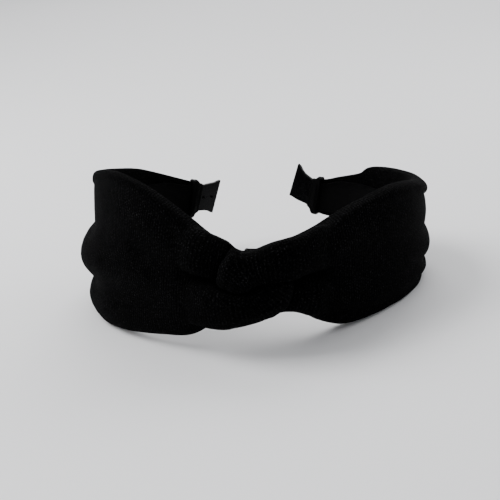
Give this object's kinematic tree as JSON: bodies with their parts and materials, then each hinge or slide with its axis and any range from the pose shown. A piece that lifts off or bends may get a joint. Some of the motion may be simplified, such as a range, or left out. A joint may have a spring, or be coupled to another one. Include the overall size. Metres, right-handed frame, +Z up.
{
  "type": "knotted headband",
  "caption": "Wide padded headband in black knit over a slim sprung hoop, with sleeves looped through each other in a front knot and bare flared tips.",
  "frame": {"origin": "centre of the overall box in plan, on the surface the headband rests on", "axes": "+X to the wearer's left, which is the right of the picture seen from the knot; +Y back from the knot to the open ends; +Z up, away from the surface"},
  "size_m": [0.1488, 0.1394, 0.0648],
  "materials": {
    "black_plastic": "glossy moulded black plastic",
    "black_satin": "black satin ribbon with a soft sheen",
    "black_knit": "matt black fine-ribbed knit",
    "grey_foam": "open sponge padding"
  },
  "bodies": {
    "root": {"hoop_core": "black_plastic", "lining_ribbon": "black_satin", "left_pad": "grey_foam", "right_pad": "grey_foam", "left_sleeve": "black_knit", "right_sleeve": "black_knit", "knot_binding": "black_knit", "left_end_wrap": "black_satin", "right_end_wrap": "black_satin"}
  },
  "joints": []
}
